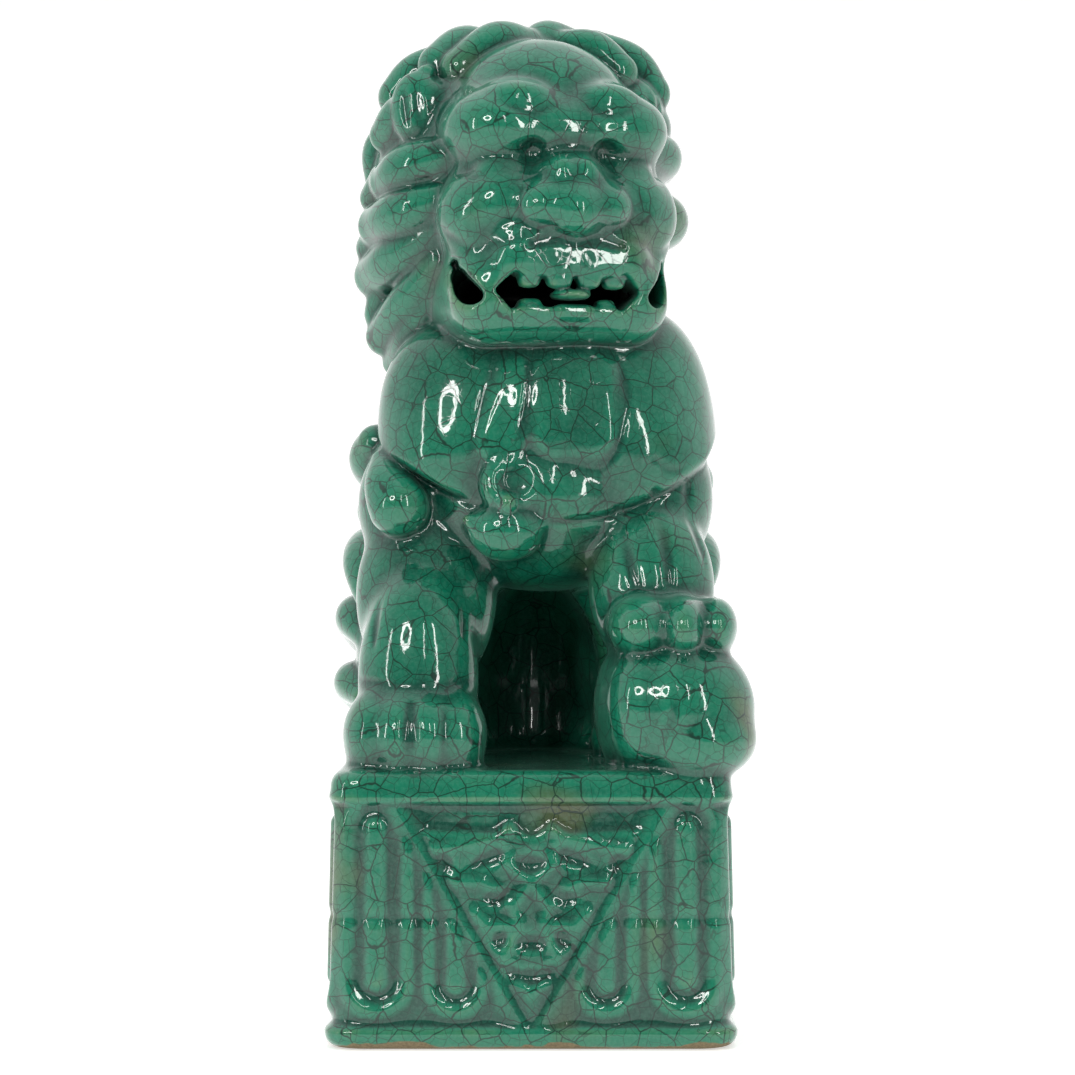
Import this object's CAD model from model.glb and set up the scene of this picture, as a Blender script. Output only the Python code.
"""Glazed stoneware foo dog: the looks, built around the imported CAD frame.

The whole figure is sculpted as one body of clay, held as signed distances on a grid, because the real
one is luted together before glazing. The glazed skin is then split into one piece for each CAD node.
Lengths in the sculpting code are millimetres; Blender's are metres.
"""

import bpy
import math
import numpy as np
import openvdb
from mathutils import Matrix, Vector


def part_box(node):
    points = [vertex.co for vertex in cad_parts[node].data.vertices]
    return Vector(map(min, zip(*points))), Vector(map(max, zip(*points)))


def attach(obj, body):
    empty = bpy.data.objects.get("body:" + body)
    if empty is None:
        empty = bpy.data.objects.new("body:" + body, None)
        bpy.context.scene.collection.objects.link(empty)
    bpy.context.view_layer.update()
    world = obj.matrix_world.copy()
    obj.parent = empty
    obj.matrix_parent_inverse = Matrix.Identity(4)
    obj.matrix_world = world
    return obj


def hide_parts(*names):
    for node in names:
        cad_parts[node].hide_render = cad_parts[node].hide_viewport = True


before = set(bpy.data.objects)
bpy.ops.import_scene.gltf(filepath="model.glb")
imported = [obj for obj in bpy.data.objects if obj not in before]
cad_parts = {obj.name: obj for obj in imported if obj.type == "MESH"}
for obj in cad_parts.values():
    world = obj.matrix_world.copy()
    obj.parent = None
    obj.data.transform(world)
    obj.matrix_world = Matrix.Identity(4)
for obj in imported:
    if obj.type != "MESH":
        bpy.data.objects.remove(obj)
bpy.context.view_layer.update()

MM = 0.001
VOXEL = 0.8
FAR = 9.0  # distances are kept exact only this near to the surface
HEAD_TURN = math.radians(16)  # the face looks a little to the animal's left

# ---------------------------------------------------------------------------------------------
# Places taken from the frame


def low_mm(node):
    return np.array(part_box(node)[0]) / MM


def high_mm(node):
    return np.array(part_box(node)[1]) / MM


def middle_mm(node):
    return (low_mm(node) + high_mm(node)) / 2


PLINTH_HALF = np.array([high_mm("plinth_left_wall")[0], high_mm("plinth_back_wall")[1]])
DECK_HEIGHT = high_mm("plinth_deck")[2]
TOP = high_mm("crown_locks")[2]
CAP = high_mm("mane_cap")[2]
NECK = low_mm("mane_cap")[2]

MANE_CENTRE = np.array([-4.0, middle_mm("mane_cap")[1] - 18.2, CAP - 52.0])
HEAD_CENTRE = np.array([-5.0, MANE_CENTRE[1] - 4.0, low_mm("face_shell")[2] + 40.5])
ACROSS = np.array([math.cos(HEAD_TURN), math.sin(HEAD_TURN), 0.0])
FORWARD = np.array([math.sin(HEAD_TURN), -math.cos(HEAD_TURN), 0.0])
UP = np.array([0.0, 0.0, 1.0])
HEAD_AXES = np.array([ACROSS, FORWARD, UP])


def on_deck(x, y, up):
    """A place on the body, from the middle of the deck."""
    return np.array([x, y, DECK_HEIGHT + up])


def in_head(across, forward, up):
    """A place in the head's own frame, which is turned with the face."""
    return HEAD_CENTRE + across * ACROSS + forward * FORWARD + up * UP


def on_face(across, forward, up):
    """A place on the face, whose features sit a little to one side of the head's middle."""
    return in_head(across + 2.7, forward, up)


def on_mane(turn, rise, radius):
    """A place over the mane: degrees round from the face, degrees up, and distance from its centre."""
    turn, rise = math.radians(turn), math.radians(rise)
    level = math.cos(turn) * FORWARD + math.sin(turn) * ACROSS
    return MANE_CENTRE + radius * (math.cos(rise) * level + math.sin(rise) * UP)


# ---------------------------------------------------------------------------------------------
# Forms: signed distances, and the box each one fits in


class Form:
    """A solid: the corners of the box it fits in, and its signed distance at x, y, z."""

    def __init__(self, low, high, distance):
        self.low = np.asarray(low, float)
        self.high = np.asarray(high, float)
        self.distance = distance


def turned(yaw=0.0, pitch=0.0, roll=0.0):
    """Rows are the axes of a form turned by degrees about Z, then X, then Y."""
    a, b, c = (math.radians(angle) for angle in (yaw, pitch, roll))
    about_z = np.array([[math.cos(a), math.sin(a), 0], [-math.sin(a), math.cos(a), 0], [0, 0, 1]])
    about_x = np.array([[1, 0, 0], [0, math.cos(b), math.sin(b)], [0, -math.sin(b), math.cos(b)]])
    about_y = np.array([[math.cos(c), 0, -math.sin(c)], [0, 1, 0], [math.sin(c), 0, math.cos(c)]])
    return about_y @ about_x @ about_z


def local(centre, axes, x, y, z):
    """Coordinates along a form's own axes."""
    dx, dy, dz = x - centre[0], y - centre[1], z - centre[2]
    return [axis[0] * dx + axis[1] * dy + axis[2] * dz for axis in axes]


def ellipsoid(centre, radii, axes=np.eye(3)):
    radii = np.asarray(radii, float)
    half = np.sqrt((radii[:, None] ** 2 * axes**2).sum(0))

    def distance(x, y, z):
        p = local(centre, axes, x, y, z)
        near = sum((q / r) ** 2 for q, r in zip(p, radii))
        steep = sum((q / r**2) ** 2 for q, r in zip(p, radii))
        near = np.sqrt(near)
        return near * (near - 1) / np.sqrt(np.maximum(steep, 1e-9))

    return Form(centre - half, centre + half, distance)


def block(centre, half, rounding, axes=np.eye(3)):
    """A box with rounded edges."""
    half = np.asarray(half, float)
    reach = np.sqrt((half[:, None] ** 2 * axes**2).sum(0)) * 1.3

    def distance(x, y, z):
        q = [np.abs(p) - h + rounding for p, h in zip(local(centre, axes, x, y, z), half)]
        outside = np.sqrt(sum(np.maximum(p, 0) ** 2 for p in q))
        return outside + np.minimum(np.maximum(np.maximum(q[0], q[1]), q[2]), 0) - rounding

    return Form(centre - reach, centre + reach, distance)


def smooth_path(points, values, steps=8):
    """A smooth curve through the points, with the values carried along it."""
    rows = np.hstack([np.array(points, float), np.array(values, float).reshape(len(points), -1)])
    if len(rows) == 2:
        return rows
    ends = np.vstack([2 * rows[0] - rows[1], rows, 2 * rows[-1] - rows[-2]])
    out = []
    for a, b, c, d in zip(ends, ends[1:], ends[2:], ends[3:]):
        for t in np.arange(steps) / steps:
            curve = 2 * b + (c - a) * t + (2 * a - 5 * b + 4 * c - d) * t**2
            out.append(0.5 * (curve + (3 * b - a - 3 * c + d) * t**3))
    return np.vstack(out + [rows[-1]])


def strand(points, radii, flat=None):
    """A tapered round strand along a curve; flat is (direction, ratio) to thin it one way."""
    if np.ndim(radii) == 0:
        radii = [radii] * len(points)
    path = smooth_path(points, radii)
    origin = path[:, :3].mean(0)
    reach = path[:, 3].max()
    low, high = path[:, :3].min(0) - reach, path[:, :3].max(0) + reach
    normal, squeeze = (np.zeros(3), 0.0)
    if flat is not None:
        normal = np.asarray(flat[0], float) / np.linalg.norm(flat[0])
        squeeze = 1.0 / flat[1] - 1.0
    spine = path[:, :3] + squeeze * ((path[:, :3] - origin) @ normal)[:, None] * normal

    def distance(x, y, z):
        dx, dy, dz = x - origin[0], y - origin[1], z - origin[2]
        if squeeze:
            along = squeeze * (dx * normal[0] + dy * normal[1] + dz * normal[2])
            dx, dy, dz = dx + along * normal[0], dy + along * normal[1], dz + along * normal[2]
        nearest = None
        for a, b, ra, rb in zip(spine - origin, spine[1:] - origin, path[:, 3], path[1:, 3]):
            way = b - a
            length = max(way @ way, 1e-9)
            px, py, pz = dx - a[0], dy - a[1], dz - a[2]
            t = np.clip((px * way[0] + py * way[1] + pz * way[2]) / length, 0, 1)
            gap = (px - t * way[0]) ** 2 + (py - t * way[1]) ** 2 + (pz - t * way[2]) ** 2
            gap = np.sqrt(gap) - (ra + (rb - ra) * t)
            nearest = gap if nearest is None else np.minimum(nearest, gap)
        return nearest

    return Form(low, high, distance)


def ring(centre, major, minor, axes):
    """A torus whose hole runs along the last axis."""
    reach = major + minor

    def distance(x, y, z):
        p, q, r = local(centre, axes, x, y, z)
        return np.sqrt((np.sqrt(p**2 + q**2) - major) ** 2 + r**2) - minor

    return Form(centre - reach, centre + reach, distance)


def soft_min(a, b, blend):
    if blend <= 0:
        return np.minimum(a, b)
    near = np.maximum(blend - np.abs(a - b), 0) / blend
    return np.minimum(a, b) - near**2 * blend / 4


def soft_max(a, b, blend):
    return -soft_min(-a, -b, blend)


def common(a, b, blend=0.0):
    """What lies in both forms."""
    return Form(a.low, a.high, lambda x, y, z: soft_max(a.distance(x, y, z), b.distance(x, y, z), blend))


def joined(forms, blend):
    """Several forms melted into one."""
    low = np.min([form.low for form in forms], axis=0)
    high = np.max([form.high for form in forms], axis=0)

    def distance(x, y, z):
        total = forms[0].distance(x, y, z)
        for form in forms[1:]:
            total = soft_min(total, form.distance(x, y, z), blend)
        return total

    return Form(low, high, distance)


def ease(t):
    t = np.clip(t, 0, 1)
    return t * t * (3 - 2 * t)


# ---------------------------------------------------------------------------------------------
# Clay


class Clay:
    """The body of clay: signed distances on a grid, and which piece each point is nearest to."""

    def __init__(self, low, high, voxel):
        self.low, self.voxel = np.asarray(low, float), voxel
        self.shape = np.ceil((np.asarray(high) - self.low) / voxel).astype(int) + 1
        self.axes = [(self.low[i] + voxel * np.arange(self.shape[i])).astype(np.float32) for i in range(3)]
        self.field = np.full(self.shape, FAR, np.float32)
        self.nearest = np.full(self.shape, FAR, np.float32)
        self.owner = np.zeros(self.shape, np.int16)
        self.pieces = []

    def window(self, form, margin):
        """The part of the grid around a form, and its coordinates."""
        first = np.floor((form.low - margin - self.low) / self.voxel).astype(int)
        last = np.ceil((form.high + margin - self.low) / self.voxel).astype(int) + 1
        cut = tuple(slice(max(a, 0), min(b, n)) for a, b, n in zip(first, last, self.shape))
        x, y, z = (axis[part] for axis, part in zip(self.axes, cut))
        return cut, (x[:, None, None], y[None, :, None], z[None, None, :])

    def add(self, form, piece, blend=0.0):
        """Joins a form on as part of a piece, with a fillet of about the blend's size."""
        if piece not in self.pieces:
            self.pieces.append(piece)
        cut, place = self.window(form, max(blend, 4.0) + 2 * self.voxel)
        gap = form.distance(*place).astype(np.float32)
        self.field[cut] = soft_min(self.field[cut], gap, blend)
        mine = gap < self.nearest[cut]
        self.owner[cut][mine] = self.pieces.index(piece)
        self.nearest[cut][mine] = gap[mine]

    def begin(self):
        """Starts a lump on its own, to be joined on whole by end()."""
        self.waiting = self.field
        self.field = np.full(self.shape, FAR, np.float32)

    def end(self, blend):
        self.field = soft_min(self.waiting, self.field, blend)
        self.waiting = None

    def cut(self, form, blend=0.0):
        """Cuts a form away."""
        cut, place = self.window(form, max(blend, 4.0))
        self.field[cut] = soft_max(self.field[cut], -form.distance(*place).astype(np.float32), blend)

    def press(self, form, height, soft):
        """Raises the surface inside a form by height, or presses it in if height is negative."""
        cut, place = self.window(form, soft)
        self.field[cut] -= height * ease(0.5 - form.distance(*place).astype(np.float32) / soft)

    def claim(self, form, piece):
        """Gives a piece the surface inside a form."""
        if piece not in self.pieces:
            self.pieces.append(piece)
        cut, place = self.window(form, 0.0)
        self.owner[cut][form.distance(*place) < 0] = self.pieces.index(piece)

    def soften(self, rounds):
        """Rounds everything off a little, as a pool of glaze does."""
        self.field = blurred(self.field, rounds)


def blurred(field, rounds):
    for _ in range(rounds):
        for axis in range(3):
            field = np.moveaxis(field, axis, 0)
            inner = 0.5 * field[1:-1] + 0.25 * (field[:-2] + field[2:])
            field = np.moveaxis(np.concatenate([field[:1], inner, field[-1:]]), 0, axis)
    return np.ascontiguousarray(field)


def sample(field, clay, points):
    """Values of a grid at points, interpolated."""
    p = (points - clay.low) / clay.voxel
    base = np.clip(np.floor(p).astype(int), 0, np.array(field.shape) - 2)
    f = np.clip(p - base, 0, 1)
    total = 0.0
    for i in (0, 1):
        for j in (0, 1):
            for k in (0, 1):
                weight = (f[:, 0] if i else 1 - f[:, 0]) * (f[:, 1] if j else 1 - f[:, 1])
                weight = weight * (f[:, 2] if k else 1 - f[:, 2])
                total = total + weight * field[base[:, 0] + i, base[:, 1] + j, base[:, 2] + k]
    return total


def slope(field, clay, points):
    """Gradient of a grid at points."""
    step = clay.voxel * 0.75
    out = np.empty_like(points)
    for axis in range(3):
        shift = np.zeros(3)
        shift[axis] = step
        out[:, axis] = (sample(field, clay, points + shift) - sample(field, clay, points - shift)) / (2 * step)
    return out


# ---------------------------------------------------------------------------------------------
# Plinth


def swell(gap, width):
    """A soft bump: 1 at a gap of zero, 0 from the width on."""
    return ease(1 - np.abs(gap) / width)


def rib(u, z, points, width):
    """A soft raised line through points on a wall."""
    nearest = None
    for (u0, z0), (u1, z1) in zip(points, points[1:]):
        along = ((u - u0) * (u1 - u0) + (z - z0) * (z1 - z0)) / ((u1 - u0) ** 2 + (z1 - z0) ** 2)
        along = np.clip(along, 0, 1)
        gap = np.hypot(u - u0 - along * (u1 - u0), z - z0 - along * (z1 - z0))
        nearest = gap if nearest is None else np.minimum(nearest, gap)
    return swell(nearest, width)


def relief(u, z, half_width):
    """Height of one wall's moulded relief, u along the wall from its middle and z up from the foot."""
    side = np.abs(u)
    band_low, band_high = 8.0, 74.5
    pinch = 1 - 0.3 * swell(z - 40.5, 2.6)
    height = np.zeros(np.broadcast(u, z).shape, np.float32)
    # the slanting border of the apron, from under the band down to the middle of the foot
    tip, rise = 5.0, (78.0 - 11.0) / (half_width - 20.0 - 5.0)
    lean = math.hypot(1, rise)
    across = ((side - tip) * rise - (z - 11.0)) / lean
    border = 1.7 * swell(across, 7.0)
    # hooked bars: a raised bar with a raised ring around its foot
    for bar, top, reach in ((half_width - 16.5, 68.0, 9.8), (half_width - 41.0, 60.0, 8.4)):
        foot = 12.0 + reach
        end = np.maximum(np.maximum(foot - z, z - top), 0)
        away = np.hypot(side - bar, end)
        ring_height = 2.1 * swell(away - reach, 4.6)
        bar_height = 2.2 * swell(np.maximum(np.hypot(side - bar, np.maximum(np.maximum(foot - z, z - top), 0)) - 1.2, 0), 4.0)
        hook = np.maximum(ring_height, bar_height) * pinch
        outside = ease(across / 2.5)
        height = np.maximum(height, hook * outside)
    height = np.maximum(height, border)
    # the field inside the border, with a scalloped top and leaf-shaped hollows
    inside = ease((-across - 1.5) / 2.5)
    crest = 67.0 + 2.6 * swell(side - 6.5, 6.0) + 0.05 * side
    field = 1.5 * inside * ease((crest - z) / 2.2)
    for leaf_u, leaf_z, length, width, slant in LEAVES:
        across_leaf = side - leaf_u if leaf_u else u
        a = math.radians(slant)
        p = (across_leaf * math.cos(a) + (z - leaf_z) * math.sin(a)) / length
        q = (-across_leaf * math.sin(a) + (z - leaf_z) * math.cos(a)) / width
        field = field - 1.4 * ease(1.45 - 1.05 * np.hypot(p, q)) * inside
    veins = 0
    for points in VEINS:
        veins = np.maximum(veins, rib(side, z, points, 3.0))
    field = field + 0.8 * veins * inside * ease((crest + 1.5 - z) / 2.2)
    height = np.maximum(height, field)
    band = np.maximum(ease((z - band_high) / 2.0), ease((band_low - z) / 2.0))
    bead = 0.45 * swell(z - (band_high + 2.4), 2.2)
    return np.maximum(height, 2.3 * band + bead * (z > band_high)) * (z > -5)


LEAVES = (
    (12.5, 59.0, 6.0, 2.2, -22),
    (0, 57.0, 4.6, 2.8, 0),
    (26.5, 57.5, 3.0, 2.2, 50),
    (10.5, 46.8, 3.6, 2.3, 0),
    (9.5, 34.0, 2.2, 2.6, 20),
    (0, 33.0, 4.8, 2.4, 0),
    (0, 22.5, 6.5, 2.3, 0),
    (5.5, 24.5, 2.6, 1.8, 40),
)
# stems between the leaves, on one half of a wall; the other half mirrors them
VEINS = (
    ((5.5, 71), (9.0, 65.5), (6.8, 57), (0, 51.5)),
    ((9.0, 65.5), (19, 63), (32, 61)),
    ((0, 51.5), (5.5, 44), (4.0, 38.5), (8.0, 29), (0, 16.5)),
    ((5.5, 44), (14.5, 51.5), (24, 51.5)),
    ((4.0, 38.5), (13.5, 38), (17, 42)),
)
RELIEF_DEPTH = 2.4


def sculpt_plinth(clay):
    """The block with its leaning walls, soft corners, bands and relief."""
    corner, edge = 4.5, 2.6

    def distance(x, y, z):
        lean = 2.0 * z / DECK_HEIGHT + RELIEF_DEPTH
        gap_x = np.abs(x) - (PLINTH_HALF[0] - lean) - relief(y, z, PLINTH_HALF[1])
        gap_y = np.abs(y) - (PLINTH_HALF[1] - lean) - relief(x, z, PLINTH_HALF[0])
        sides = soft_max(gap_x, gap_y, 2.2 * corner)
        level = np.maximum(z - DECK_HEIGHT, -z)
        return soft_max(sides, level, 2.2 * edge)

    reach = np.array([PLINTH_HALF[0], PLINTH_HALF[1], 0]) + 1
    body = Form(-reach - [0, 0, 2], reach + [0, 0, DECK_HEIGHT + 2], distance)
    clay.add(body, "plinth_deck")
    far = 200.0
    for name, sign, along in (
        ("plinth_front_wall", -1, 1),
        ("plinth_back_wall", 1, 1),
        ("plinth_right_wall", -1, 0),
        ("plinth_left_wall", 1, 0),
    ):
        def wedge(x, y, z, sign=sign, along=along):
            out = (PLINTH_HALF[0] - np.abs(x), PLINTH_HALF[1] - np.abs(y))
            mitre = out[along] - out[1 - along] + 0 * z
            behind = -sign * (y if along else x)
            return np.maximum(np.maximum(mitre, behind), z - (DECK_HEIGHT - 3.0))

        clay.claim(Form([-far, -far, -10], [far, far, DECK_HEIGHT - 3.0], wedge), name)


# ---------------------------------------------------------------------------------------------
# Body


def swag_line(x):
    """Height above the deck of the hem of the chest, which hangs in a shallow curve."""
    return 77.5 + np.where(x < 10.0, 0.0066, 0.0086) * (x - 10.0) ** 2


def hem_height(x, y):
    """The hem's height in the frame; it rises towards the back."""
    return DECK_HEIGHT + swag_line(x) + 0.3 * np.maximum(y + 42.0, 0.0)


def sculpt_torso(clay):
    clay.add(ellipsoid(on_deck(2, 26, 64), (44, 47, 66)), "back_shell", 4)
    clay.add(ellipsoid(on_deck(0, 34, 34), (34, 40, 46)), "back_shell", 12)
    clay.add(ellipsoid(on_deck(2, 12, 110), (43, 33, 34)), "back_shell", 12)
    clay.add(ellipsoid(on_deck(4, -14, 100), (50.5, 42, 44)), "chest_shell", 10)
    clay.add(ellipsoid(on_deck(3, -6, 122), (46, 38, 32)), "chest_shell", 10)
    clay.add(ellipsoid(on_deck(3, -24, 85), (42, 38.5, 29.5)), "chest_shell", 8)
    clay.cut(ellipsoid(on_deck(1, -8, 20), (22, 40, 40)), 6)
    clay.add(ellipsoid(on_deck(2.5, -30, 71), (25, 24, 15.5)), "chest_shell", 6)
    # the chest hangs over the legs like a shawl, its hem a crisp edge
    lumps = [
        ellipsoid(on_deck(6, -15, 104), (52.0, 46, 50)),
        ellipsoid(on_deck(-24, -30, 99), (25.5, 30, 30)),
        ellipsoid(on_deck(32, -28, 98), (27, 30, 30)),
    ]
    shawl = joined(lumps, 9)
    hem = Form(
        shawl.low,
        shawl.high,
        lambda x, y, z: soft_max(
            shawl.distance(x, y, z), hem_height(x, y) - z, 2.0
        ),
    )
    clay.add(hem, "chest_shell", 1.6)
    clay.add(ellipsoid(on_deck(-22, -32, 118), (25, 22, 24)), "chest_shell", 9)
    clay.add(ellipsoid(on_deck(34, -22, 118), (22, 26, 28)), "chest_shell", 8)


def groove(clay, points, width=1.0, depth=1.2, soft=2.6):
    """A tapering line pressed into the body, from places on the deck."""
    widths = [0.4 * width] + [width] * (len(points) - 2) + [0.4 * width]
    clay.press(strand([on_deck(*point) for point in points], widths), -depth, soft)


def sculpt_legs(clay):
    """Forelegs: the right one stands on the deck, the left one reaches down to the ball."""
    for place, radii, pitch in (
        ((-35.5, -57, 27), (19.0, 17.5, 34), -5),
        ((-33.5, -40, 53), (22.5, 18.5, 33), -18),
        ((-37, -27, 82), (19, 20, 25), 0),
    ):
        clay.add(ellipsoid(on_deck(*place), radii, turned(0, pitch)), "right_foreleg", 5)
    for place, radii, pitch in (
        ((38, -50, 56), (20.0, 18, 28), -20),
        ((40, -31, 84), (18.5, 20, 26), 0),
    ):
        clay.add(ellipsoid(on_deck(*place), radii, turned(0, pitch)), "left_foreleg", 5)
    below_hem = Form(
        on_deck(-70, -80, 60),
        on_deck(70, 0, 130),
        lambda x, y, z: np.abs(z - hem_height(x, y) + 0.8) - 0.7,
    )
    clay.press(below_hem, -1.0, 1.8)
    # folds down the legs
    groove(clay, [(-47.5, -60, 68), (-49.5, -62, 54), (-48, -66, 37)], 2.0, 1.7)
    groove(clay, [(-31, -66, 76), (-28.5, -67, 62), (-29, -70, 50)], 0.9, 0.8)
    groove(clay, [(-17, -52, 66), (-20.5, -62, 46), (-24, -66, 34)], 1.2, 0.9)
    groove(clay, [(27, -55, 80), (29, -62, 70), (33, -67, 56)], 1.6, 1.5, 4.0)
    groove(clay, [(38, -52, 89), (41.5, -61, 74), (43, -67, 57)], 1.6, 1.5, 4.0)
    groove(clay, [(48, -45, 92), (52, -52, 76), (53, -57, 62)], 1.6, 1.3, 4.0)


def sculpt_right_paw(clay):
    clay.add(ellipsoid(on_deck(-36.3, -62, 11), (21.3, 22, 15.5)), "right_forepaw", 4)
    for x, y, radii in (
        (-50.0, -67.5, (8.2, 13, 13.5)),
        (-41.5, -70.5, (7.0, 13.5, 12.0)),
        (-31.0, -71, (8.0, 13.5, 12.0)),
        (-22.0, -68, (8.0, 13.5, 13.5)),
    ):
        clay.add(ellipsoid(on_deck(x, y, 9), radii), "right_forepaw", 4.2)
    groove(clay, [(-37, -80, 20), (-37.3, -85, 11), (-37.5, -85, 3)], 2.2, 2.0, 3.0)
    groove(clay, [(-27.0, -80, 19), (-26.5, -84, 10), (-26.5, -83, 3)], 1.0, 0.8, 2.4)
    groove(clay, [(-54, -62, 27), (-46, -73, 26), (-36, -76, 25.5), (-26, -74, 26), (-17.5, -62, 27)], 0.8, 1.0, 2.0)


def sculpt_left_paw(clay):
    clay.add(ellipsoid(on_deck(43, -64, 44.5), (18.5, 17, 9.6)), "left_forepaw", 3)
    for x, y, radii in (
        (33.5, -71, (9.8, 14.5, 9.8)),
        (47.0, -73.5, (7.0, 14, 9.4)),
        (57.5, -70, (6.6, 13, 9.0)),
    ):
        clay.add(ellipsoid(on_deck(x, y, 43.8), radii), "left_forepaw", 3.2)


def sculpt_ball(clay):
    centre = middle_mm("ball") + [0, 0, -2.2]
    clay.add(ellipsoid(centre, (22.7, 23, 22.5)), "ball", 2.5)
    clay.add(ellipsoid(centre + [4.5, -3.5, -9], (18.5, 19.5, 13.5)), "ball", 2.5)
    clay.add(ellipsoid(centre + [-13.5, -2.0, 0.5], (11.5, 18, 19.5)), "ball_ribbon", 3.5)
    clay.add(ellipsoid(centre + [-19, 8, 0], (8.5, 15, 19)), "ball_ribbon", 3.5)
    path = [(-8, -20, 17), (-3.5, -23.2, 9), (-3.5, -23.2, 0), (-7, -22, -8), (-11, -17, -16)]
    clay.press(strand([centre + np.array(step) for step in path], [0.5, 1.1, 1.2, 1.1, 0.5]), -1.0, 3.0)


def sculpt_hind(clay):
    for side, name in ((-1, "right"), (1, "left")):
        haunch, paw, curls = name + "_haunch", name + "_hind_paw", name + "_haunch_curls"
        clay.add(ellipsoid(on_deck(side * 37, 32, 34), (23, 38, 36)), haunch, 3)
        clay.add(ellipsoid(on_deck(side * 33, -2, 9), (13, 22, 12)), paw, 3)
        for toe in (-1, 0, 1):
            place = on_deck(side * 33 + 8.5 * toe, -21 + abs(toe) * 2, 6)
            clay.add(ellipsoid(place, (5.2, 9, 8)), paw, 1.8)
        swirl = [
            on_deck(side * 50, 8, 42),
            on_deck(side * 56, 24, 62),
            on_deck(side * 53, 46, 66),
            on_deck(side * 50, 60, 52),
        ]
        clay.add(strand(swirl, [5, 8, 9, 5]), curls, 1.4)
        swirl = [
            on_deck(side * 55, 20, 38),
            on_deck(side * 59, 32, 44),
            on_deck(side * 57, 48, 40),
            on_deck(side * 52, 62, 28),
        ]
        clay.add(strand(swirl, [5, 8, 8.5, 4.5]), curls, 1.4)
        swirl = [
            on_deck(side * 56, 16, 18),
            on_deck(side * 60, 30, 22),
            on_deck(side * 56, 46, 17),
            on_deck(side * 50, 58, 8),
        ]
        clay.add(strand(swirl, [4.5, 7.5, 8, 4]), curls, 1.4)


def sculpt_tail(clay):
    """A flame-shaped tail of three strands lying up the back."""
    for x, tip, height, width in ((2, 2, 96, 11), (-12, -17, 70, 9), (16, 21, 70, 9)):
        spine = [
            on_deck(2 + (x - 2) * 0.4, 66, 8),
            on_deck(x, 75, height * 0.4),
            on_deck(x + (tip - x) * 0.5, 74, height * 0.72),
            on_deck(tip, 68 if x != 2 else 66, height),
        ]
        clay.add(strand(spine, [8, width, width * 0.85, 3]), "tail", 1.6)
    for side in (-1, 1):
        curl = [on_deck(2 + side * 12, 70, 14), on_deck(2 + side * 24, 68, 22), on_deck(2 + side * 30, 62, 36)]
        clay.add(strand(curl, [7, 7, 3]), "tail", 1.6)


def sculpt_spine(clay):
    """Pairs of curls down the back, between the mane and the tail."""

    def skin(up):
        return 26 + 47 * math.sqrt(1 - ((up - 64) / 66) ** 2)

    for step in range(5):
        up = 92 + 7.5 * step
        for side in (-1, 1):
            root = on_deck(2 + side * 2, skin(up + 4), up + 4)
            tip = on_deck(2 + side * 11, skin(up - 5) - 1.5, up - 5)
            clay.add(strand([root, (root + tip) / 2 + [0, 1.5, 0], tip], [4, 5.5, 3.5]), "spine_curls", 1.2)


def sculpt_tufts(clay):
    """Curls of hair on the shoulders, under the hem of the chest."""
    drop = [on_deck(-48, -40, 96), on_deck(-45.5, -47, 88), on_deck(-42, -51, 81.5)]
    clay.add(strand(drop, [3.5, 7.5, 9.8]), "right_shoulder_tuft", 2.4)
    curl = [on_deck(-50.5, -18, 102), on_deck(-52, -10, 97), on_deck(-49, 4, 92), on_deck(-44, 15, 92)]
    clay.add(strand(curl, [6.5, 8.0, 7.0, 3.0]), "right_shoulder_tuft", 2.0)
    curl = [on_deck(-48, -22, 86), on_deck(-50.5, -10, 80), on_deck(-47, 4, 76), on_deck(-42, 14, 78)]
    clay.add(strand(curl, [5.0, 6.8, 6.0, 3.0]), "right_shoulder_tuft", 2.0)
    curl = [on_deck(49, -30, 96), on_deck(52.5, -18, 90), on_deck(50, -2, 86), on_deck(45, 12, 88)]
    clay.add(strand(curl, [5.0, 7.0, 6.5, 3.0]), "left_shoulder_tuft", 2.0)
    curl = [on_deck(48, -22, 78), on_deck(50.5, -10, 72), on_deck(47, 4, 69), on_deck(42, 14, 72)]
    clay.add(strand(curl, [4.5, 6.2, 5.5, 3.0]), "left_shoulder_tuft", 2.0)
    groove(clay, [(44, -40, 132), (47, -44, 118), (43, -52, 105), (39, -56, 96)], 0.9, 0.8, 3.0)
    groove(clay, [(38, -56, 96), (45, -52, 93), (54, -40, 99), (58, -28, 107)], 0.9, 0.8, 3.0)
    groove(clay, [(43, -52, 99), (48, -47, 104), (52, -40, 112)], 0.6, 0.6, 2.6)


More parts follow.
